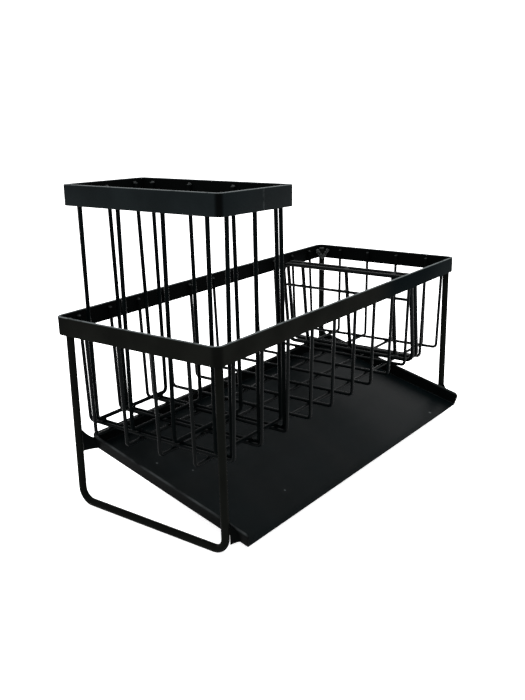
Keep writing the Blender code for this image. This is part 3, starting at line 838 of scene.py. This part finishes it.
def make_basket_wires():
    """Every wire of the long basket. The last crosswise one isn't parallel to the others."""
    coats = wire_coats("basket", gloss=0.85)
    shade = RIM_TOP - RIM_HEIGHT
    low = BASKET_FLOOR_HEIGHT - WIRE_DIAMETER - SEAT_GAP
    top = RIM_TOP - WIRE_TOP_DROP
    span = RIM_LENGTH - 2 * wire_inset(WIRE_DIAMETER)
    path = u_bend(span, span - 2 * BASKET_LENGTHWISE_TAPER, top - low, BASKET_LENGTHWISE_BEND_RADIUS)
    for number, y in enumerate(LENGTHWISE_PLACES, start=1):
        wire = wire_piece(f"basket_long_wire_{number}", path + [0, y, low], WIRE_DIAMETER, BACK, shade=shade)
        finish(wire, coats, "basket_coat", "organizer", f"basket_wire_lengthwise_{number}")
    span = RIM_DEPTH - 2 * wire_inset(WIRE_DIAMETER)
    height = top - BASKET_FLOOR_HEIGHT
    path = u_bend(span, span - 2 * BASKET_CROSSWISE_TAPER, height, BASKET_CROSSWISE_BEND_RADIUS, BACK)
    for number, x in enumerate(CROSSWISE_PLACES, start=1):
        place = path + [x, MIDDLE[1], BASKET_FLOOR_HEIGHT]
        if number == len(CROSSWISE_PLACES):
            place += (0.5 - path[:, 1:2] / span) * LAST_CROSSWISE_SKEW * ALONG
        wire = wire_piece(f"basket_cross_wire_{number:02d}", place, WIRE_DIAMETER, ALONG, shade=shade)
        finish(wire, coats, "basket_coat", "organizer", f"basket_wire_crosswise_{number:02d}")


def make_tower_wires():
    """Every wire of the tall basket. The upper ends of the crosswise ones lean."""
    foot = tower_foot()
    shade = foot[2] + TOWER_TOP - TOWER_STRIP_HEIGHT
    coats = wire_coats("tower", gloss=0.25)
    wire_top = TOWER_TOP - WIRE_TOP_DROP
    layer = TOWER_WIRE_DIAMETER + SEAT_GAP
    span = TOWER_LENGTH - 2 * wire_inset(TOWER_WIRE_DIAMETER)
    path = u_bend(span, span + 2 * TOWER_LENGTHWISE_SPREAD, wire_top - layer, TOWER_BEND_RADIUS)
    path = lean(path + UP * layer, TOWER_WIRE_LEAN)
    for number, y in enumerate(TOWER_LENGTHWISE_PLACES, start=1):
        place = path + foot + BACK * y
        wire = wire_piece(f"tower_long_wire_{number}", place, TOWER_WIRE_DIAMETER, BACK, shade=shade)
        finish(wire, coats, "tower_coat", "tower", f"tower_wire_lengthwise_{number}")
    span = TOWER_DEPTH - 2 * wire_inset(TOWER_WIRE_DIAMETER)
    path = u_bend(span, span - 2 * TOWER_CROSSWISE_TAPER, wire_top, TOWER_BEND_RADIUS, BACK)
    square = lean(ALONG, TOWER_WIRE_LEAN)
    rise = path[:, 2:] / wire_top * ALONG
    for number, (x, head) in enumerate(zip(TOWER_CROSSWISE_PLACES, TOWER_CROSSWISE_HEADS), start=1):
        place = lean(path + ALONG * x + rise * head, TOWER_WIRE_LEAN) + foot
        wire = wire_piece(f"tower_cross_wire_{number}", place, TOWER_WIRE_DIAMETER, square, shade=shade)
        finish(wire, coats, "tower_coat", "tower", f"tower_wire_crosswise_{number}")


def make_divider():
    """The divider's loops, uprights and rail."""
    coat = powder_coat("divider_rod_coat", "wire", "wire")
    foot, height = divider_foot()
    inside = RIM_DEPTH - 2 * STRIP_THICKNESS
    half = (inside - DIVIDER_FRONT_CLEARANCE - DIVIDER_BACK_CLEARANCE - ROD_DIAMETER) / 2
    corners = np.array([[0, -half, 0], [0, half, 0], [0, half, height], [0, -half, height]])
    loop = rounded(corners, DIVIDER_BEND_RADIUS, closed=True)
    square = lean(ALONG, -DIVIDER_LEAN)
    for name, x in (("near", -ROD_STEP), ("far", ROD_STEP)):
        place = lean(loop + ALONG * x, -DIVIDER_LEAN) + foot
        rod = wire_piece(f"divider_rod_{name}", place, ROD_DIAMETER, square, closed=True)
        finish(rod, coat, "divider_coat", "divider", f"divider_loop_{name}")
    for number, y in enumerate(UPRIGHT_PLACES, start=1):
        ends = np.array([[0, y, -DIVIDER_UPRIGHT_OVERRUN], [0, y, height + DIVIDER_UPRIGHT_OVERRUN]])
        rod = wire_piece(f"divider_post_{number}", lean(ends, -DIVIDER_LEAN) + foot, ROD_DIAMETER, BACK)
        finish(rod, coat, "divider_coat", "divider", f"divider_upright_{number}")
    reach = half - ROD_DIAMETER / 2 - SEAT_GAP
    x = -ROD_DIAMETER / 2 - SEAT_GAP - WIRE_DIAMETER / 2
    ends = np.array([[x, -reach, DIVIDER_RAIL_HEIGHT], [x, reach, DIVIDER_RAIL_HEIGHT]])
    rail = wire_piece("divider_cross_rail", lean(ends, -DIVIDER_LEAN) + foot, WIRE_DIAMETER, UP)
    finish(rail, coat, "divider_coat", "divider", "divider_rail")


def make_tray():
    """The drip tray and its four tabs."""
    coat = powder_coat("tray_sheet_coat", "tray", "sheet", gloss=0.5, marks=TRAY_DUST)
    outer_coat = powder_coat("tray_outer_coat", "inside", "sheet", gloss=0.3)
    # The lips' inner faces and the floor's underside are near black: painted shade.
    lip_coat = powder_coat("tray_lip_coat", "inside", "sheet", gloss=0.1)
    # The tabs are near black: painted shade.
    tab_coat = powder_coat("tray_tab_coat", "inside", gloss=0.1)
    finish(tray_piece(), (coat, lip_coat, outer_coat), "tray_coat", "organizer", "drip_tray")
    for end, side in (("near", -1), ("far", 1)):
        for row in ("front", "back"):
            tab = tab_piece(f"tray_tab_{row}_{end}", side, row == "back")
            finish(tab, tab_coat, "tray_coat", "organizer")


def weld_rim_ends():
    """Beads over the upper ends of the wires, inside both rims."""
    inset = STRIP_THICKNESS + looks().bead * BEAD_INSET
    side_x, side_y, top = RIM_LENGTH / 2 - inset, RIM_DEPTH / 2 - inset, RIM_TOP - WIRE_TOP_DROP
    places = [[x, MIDDLE[1] + y, top] for y in (-side_y, side_y) for x in CROSSWISE_PLACES]
    sizes = [CROSSWISE_END_BEAD] * len(places)
    places[len(CROSSWISE_PLACES) - 1][0] += LAST_CROSSWISE_SKEW
    places += [[MIDDLE[0] + x, y, top] for x in (-side_x, side_x) for y in LENGTHWISE_PLACES]
    sizes += [LENGTHWISE_END_BEAD] * (len(places) - len(sizes))
    # The long basket's beads are lighter than its wires: a dull painted glint.
    coat = powder_coat("basket_weld_coat", "weld_dull_glint", "weld", gloss=0.5)
    finish(bead_piece("basket_rim_beads", places, sizes, lumps=0.3), coat, "basket_coat", "organizer")
    side_x, side_y, top = TOWER_LENGTH / 2 - inset, TOWER_DEPTH / 2 - inset, TOWER_TOP - WIRE_TOP_DROP
    heads = TOWER_CROSSWISE_PLACES + TOWER_CROSSWISE_HEADS
    places = [[x, y, top] for x in heads for y in (-side_y, side_y)]
    sizes = [TOWER_CROSSWISE_END_BEAD] * len(places)
    places += [[x, y, top] for x in (-side_x, side_x) for y in TOWER_LENGTHWISE_PLACES]
    sizes += [TOWER_LENGTHWISE_END_BEAD] * (len(places) - len(sizes))
    places = lean(np.array(places), TOWER_WIRE_LEAN) + tower_foot()
    # The tall basket's beads are light: painted glints.
    coat = powder_coat("tower_weld_coat", "weld", "weld", gloss=0.5)
    finish(bead_piece("tower_rim_beads", places, sizes, lumps=0.3), coat, "tower_coat", "tower")


def weld_crossings():
    """Small beads where the floor wires of each basket cross, brighter at the tall one's far corners, a
    painted glint.
    """
    dark = powder_coat("crossing_coat", "wire", "weld")
    bright = powder_coat("corner_weld_coat", "weld", "weld", gloss=0.5)
    x, y = np.meshgrid(CROSSWISE_PLACES, LENGTHWISE_PLACES)
    x[:, -1] += (0.5 - (y[:, -1] - MIDDLE[1]) / (RIM_DEPTH - 2 * STRIP_THICKNESS)) * LAST_CROSSWISE_SKEW
    z = np.full(x.size, BASKET_FLOOR_HEIGHT - (WIRE_DIAMETER + SEAT_GAP) / 2)
    places = np.stack([x.ravel(), y.ravel(), z], 1)
    beads = bead_piece("basket_crossing_beads", places, CROSSING_BEAD, rings=5, around=8)
    finish(beads, dark, "basket_coat", "organizer")
    foot = tower_foot()
    height = (TOWER_WIRE_DIAMETER + SEAT_GAP) / 2
    rows = [[[x, y, height] for y in TOWER_LENGTHWISE_PLACES] for x in TOWER_CROSSWISE_PLACES]
    places = lean(np.reshape(rows, (-1, 3)), TOWER_WIRE_LEAN) + foot
    beads = bead_piece("tower_crossing_beads", places, TOWER_CROSSING_BEAD, rings=5, around=8)
    finish(beads, dark, "tower_coat", "tower")
    corners = np.array([rows[-1][0], rows[-1][-1]]) + (ALONG + UP) * looks().bead
    places = lean(corners, TOWER_WIRE_LEAN) + foot
    beads = bead_piece("tower_corner_beads", places, TOWER_CORNER_BEAD, lumps=0.35)
    finish(beads, bright, "tower_coat", "tower")


def weld_legs():
    """Beads between the legs' upper ends and the rim's corners, heaped up at the far back corner."""
    height = RIM_TOP - LEG_TOP_DROP
    back = leg_back_y(height)
    corners = np.array([[-LEG_ALONG, -LEG_ACROSS], [LEG_ALONG, -LEG_ACROSS], [-LEG_ALONG, back]])
    outward = np.sign(corners) * LEG_BEAD_REACH
    places = [[x + turn * out_x, y + (1 - turn) * out_y, height - LEG_BEAD_DROP]
              for (x, y), (out_x, out_y) in zip(corners, outward) for turn in (0, 1)]
    dull = powder_coat("leg_weld_coat", "frame", "weld", gloss=0.5)
    beads = bead_piece("leg_beads", np.array(places) + MIDDLE, LEG_BEAD, lumps=0.3, rings=11, around=18)
    finish(beads, dull, "frame_coat", "organizer")
    heap = np.array(HEAP_PLACES) * HEAP_SPREAD + [LEG_ALONG, back, height]
    # The heap is light and glossy: painted glints.
    bright = powder_coat("heap_weld_coat", "weld", "weld", gloss=1.5)
    beads = bead_piece("leg_heap_beads", heap + MIDDLE, HEAP_BEAD, lumps=0.4, rings=11, around=18)
    finish(beads, bright, "frame_coat", "organizer")


def weld_divider():
    """Beads between the divider's loops, uprights and rail."""
    foot, height = divider_foot()
    gap = ROD_STEP / 2
    places = [[x, y, z] for x in (-gap, gap) for z in (0, height) for y in UPRIGHT_PLACES]
    places += [[-gap, y, DIVIDER_RAIL_HEIGHT] for y in UPRIGHT_PLACES]
    # The divider's beads are light: painted glints.
    coat = powder_coat("divider_weld_coat", "weld", "weld", gloss=0.5)
    places = lean(np.array(places), -DIVIDER_LEAN) + foot
    finish(bead_piece("divider_beads", places, DIVIDER_BEAD, lumps=0.25), coat, "divider_coat", "divider")


def make_floor():
    """A wide sheet of white paper under the organizer."""
    stage = bpy.context.scene.organizer_stage
    span = np.linspace(-FLOOR_REACH, FLOOR_REACH, FLOOR_POINTS)
    x, y = np.meshgrid(span, span)
    points = np.stack([x.ravel(), y.ravel(), np.zeros(x.size)], 1)
    mesh = bpy.data.meshes.new("floor")
    mesh.from_pydata(points.tolist(), [], grid_faces(FLOOR_POINTS, FLOOR_POINTS, False, False).tolist())
    paper = Coat("floor_paper")
    shade = paper.noise(paper.places(), PAPER_CLOUDS)
    paper.fill(paper.shader, {
        "Base Color": paper.mix(shade, colour(stage.floor, PAPER_SHADE), colour(stage.floor)),
        "Roughness": PAPER_ROUGHNESS,
        "Emission Color": colour(stage.floor),
        "Emission Strength": stage.floor_glow,
    })
    mesh.materials.append(paper.material)
    put("floor", mesh)


def make_lights():
    """Light from all round and the square soft lights, each facing its point."""
    stage = bpy.context.scene.organizer_stage
    world = bpy.data.worlds.new("studio")
    world.use_nodes = True
    world.node_tree.nodes["Background"].inputs["Color"].default_value = colour(stage.floor)
    world.node_tree.nodes["Background"].inputs["Strength"].default_value = stage.surround
    bpy.context.scene.world = world
    for key, (place, target, size) in LIGHTS.items():
        light = bpy.data.lights.new(f"{key}_light", "AREA")
        light.size = size
        light.energy = getattr(stage, key)
        lamp = put(f"{key}_light", light)
        lamp.location = place
        lamp.rotation_euler = (Vector(target) - Vector(place)).to_track_quat("-Z", "Y").to_euler()


def make_camera():
    """The camera at the photo's place, with axes to the right, above and back, and plain colours."""
    bpy.context.scene.view_settings.view_transform = "Standard"
    data = bpy.data.cameras.new("camera")
    data.sensor_width = CAMERA_SENSOR
    data.lens = CAMERA_FOCAL * CAMERA_SENSOR / CAMERA_PICTURE
    data.clip_start = 0.01
    data.clip_end = 50.0
    level, sink = math.cos(CAMERA_ELEVATION), math.sin(CAMERA_ELEVATION)
    forward = np.array([-level * math.sin(CAMERA_AZIMUTH), level * math.cos(CAMERA_AZIMUTH), -sink])
    right = np.array([math.cos(CAMERA_AZIMUTH), math.sin(CAMERA_AZIMUTH), 0])
    above = np.cross(right, forward)
    cos, sin = math.cos(CAMERA_ROLL), math.sin(CAMERA_ROLL)
    matrix = np.eye(4)
    matrix[:3] = np.stack([cos * right + sin * above, cos * above - sin * right, -forward,
                           MIDDLE + CAMERA_PLACE], axis=1)
    camera = put("camera", data)
    camera.matrix_world = Matrix(matrix.tolist())
    bpy.context.scene.camera = camera


def colour_setting(name, description, rgb):
    """A colour that a user would change."""
    return FloatVectorProperty(name=name, description=description, subtype="COLOR", default=rgb)


def number_setting(name, description, default, **kind):
    """A number that a user would change, from 0 up."""
    return FloatProperty(name=name, description=description, default=default, min=0.0, **kind)


class OrganizerCoat(bpy.types.PropertyGroup):
    """Colours and surface of the powder coat."""

    frame: colour_setting("Frame", "Colour of the long rim", (0.0038, 0.0040, 0.0035))
    leg: colour_setting("Legs", "Colour of the legs", (0.0024, 0.0027, 0.0023))
    tower: colour_setting("Tall basket", "Colour of the tall basket's rim", (0.0040, 0.0055, 0.0060))
    # Near black: painted shade on the rims' inner faces, in their bends, on the wires inside the rims, on the
    # tray's inner lip faces and on its tabs; also the tray's outer faces and a weld's dark specks.
    inside: colour_setting("Inside", "Colour of the rims' inner faces", (0.0009, 0.0011, 0.0011))
    wire: colour_setting("Wire", "Colour of the thin wires and rods", (0.0004, 0.0009, 0.0010))
    tray: colour_setting("Tray", "Colour of the drip tray", (0.0007, 0.0017, 0.0020))
    # The weld colours are light tones: painted glints on the beads and the wires' cut ends, the dull one on
    # the long basket's beads.
    weld: colour_setting("Weld", "Colour of the coat over the weld beads", (0.0380, 0.0410, 0.0410))
    weld_dull_glint: colour_setting("Dull weld", "Colour of the long basket's beads", (0.0080, 0.0090, 0.0090))
    dust: colour_setting("Dust", "Colour of the dust on the tray", (0.050, 0.056, 0.058))
    # Painted highlight along the strips' top edges and seam and the tray's folds.
    painted_highlight: colour_setting("Worn edge", "Colour of worn edges and folds", (0.100, 0.112, 0.114))
    # Painted reflection on the long rim past its middle and beside the tall rim's near corner.
    painted_reflection: colour_setting("Far half", "Colour of the long rim past its middle", (0.0006, 0.0016, 0.0020))
    roughness: number_setting("Roughness", "Roughness of the coat", 0.42, subtype="FACTOR", max=1.0)
    specular: number_setting("Specular", "How strongly the coat mirrors", 0.035, subtype="FACTOR", max=1.0)
    peel_size: number_setting("Peel size", "Width of the coat's orange peel", 0.0012, unit="LENGTH")
    peel_depth: number_setting("Peel depth", "Depth of the coat's orange peel", 0.00004, unit="LENGTH")
    peel_strength: number_setting("Peel strength", "How strongly it shows", 0.35, subtype="FACTOR", max=1.0)
    bead: number_setting("Weld bead", "Size of an ordinary weld bead", 0.0010, unit="LENGTH")


class OrganizerStage(bpy.types.PropertyGroup):
    """Floor and lights."""

    floor: colour_setting("Floor", "Colour of the floor and the background", (0.92, 0.92, 0.92))
    surround: number_setting("Surround", "Strength of the light from all round", 1.6)
    key: number_setting("Key light", "Power of the soft light beside the camera", 5.0, unit="POWER")
    floor_glow: number_setting("Floor glow", "Strength of the floor's own light", 0.80)
    tray: number_setting("Tray light", "Power of the soft light that the tray mirrors", 1.9, unit="POWER")
    top: number_setting("Top light", "Power of the soft light from above", 7.0, unit="POWER")


class ORGANIZER_OT_strips(bpy.types.Operator):
    """Bend the two flat rims"""

    bl_idname = "organizer.strips"
    bl_label = "Rims"

    def execute(self, context):
        make_strips()
        return {"FINISHED"}


class ORGANIZER_OT_legs(bpy.types.Operator):
    """Bend the two legs"""

    bl_idname = "organizer.legs"
    bl_label = "Legs"

    def execute(self, context):
        make_legs()
        return {"FINISHED"}


class ORGANIZER_OT_basket_wires(bpy.types.Operator):
    """Bend the wires of the long basket"""

    bl_idname = "organizer.basket_wires"
    bl_label = "Basket wires"

    def execute(self, context):
        make_basket_wires()
        return {"FINISHED"}


class ORGANIZER_OT_tower_wires(bpy.types.Operator):
    """Bend the wires of the tall basket"""

    bl_idname = "organizer.tower_wires"
    bl_label = "Tall basket wires"

    def execute(self, context):
        make_tower_wires()
        return {"FINISHED"}


class ORGANIZER_OT_divider(bpy.types.Operator):
    """Bend the divider's rods"""

    bl_idname = "organizer.divider"
    bl_label = "Divider"

    def execute(self, context):
        make_divider()
        return {"FINISHED"}


class ORGANIZER_OT_tray(bpy.types.Operator):
    """Fold the drip tray and its tabs"""

    bl_idname = "organizer.tray"
    bl_label = "Drip tray"

    def execute(self, context):
        make_tray()
        return {"FINISHED"}


class ORGANIZER_OT_welds(bpy.types.Operator):
    """Lay the weld beads"""

    bl_idname = "organizer.welds"
    bl_label = "Welds"

    def execute(self, context):
        weld_rim_ends()
        weld_crossings()
        weld_legs()
        weld_divider()
        return {"FINISHED"}


class ORGANIZER_OT_stage(bpy.types.Operator):
    """Set the floor, the lights and the camera"""

    bl_idname = "organizer.stage"
    bl_label = "Stage"

    def execute(self, context):
        make_floor()
        make_lights()
        make_camera()
        return {"FINISHED"}


STEPS = (
    ORGANIZER_OT_strips,
    ORGANIZER_OT_legs,
    ORGANIZER_OT_basket_wires,
    ORGANIZER_OT_tower_wires,
    ORGANIZER_OT_divider,
    ORGANIZER_OT_tray,
    ORGANIZER_OT_welds,
    ORGANIZER_OT_stage,
)


class ORGANIZER_PT_panel(bpy.types.Panel):
    """The settings and the steps, in the sidebar"""

    bl_label = "Sink organizer"
    bl_idname = "ORGANIZER_PT_panel"
    bl_space_type = "VIEW_3D"
    bl_region_type = "UI"
    bl_category = "Organizer"

    def draw(self, context):
        for group in (context.scene.organizer_coat, context.scene.organizer_stage):
            for key in group.__annotations__:
                self.layout.prop(group, key)
        for step in STEPS:
            self.layout.operator(step.bl_idname)


CLASSES = (OrganizerCoat, OrganizerStage, *STEPS, ORGANIZER_PT_panel)


def register():
    """Add the settings, steps and panel."""
    for item in CLASSES:
        bpy.utils.register_class(item)
    bpy.types.Scene.organizer_coat = PointerProperty(type=OrganizerCoat)
    bpy.types.Scene.organizer_stage = PointerProperty(type=OrganizerStage)


def unregister():
    """Take the settings, steps and panel away."""
    del bpy.types.Scene.organizer_stage
    del bpy.types.Scene.organizer_coat
    for item in reversed(CLASSES):
        bpy.utils.unregister_class(item)


def main():
    """Make every piece and the stage."""
    register()
    for step in STEPS:
        name = step.bl_idname.split(".")[1]
        getattr(bpy.ops.organizer, name)()


if __name__ == "__main__":
    main()
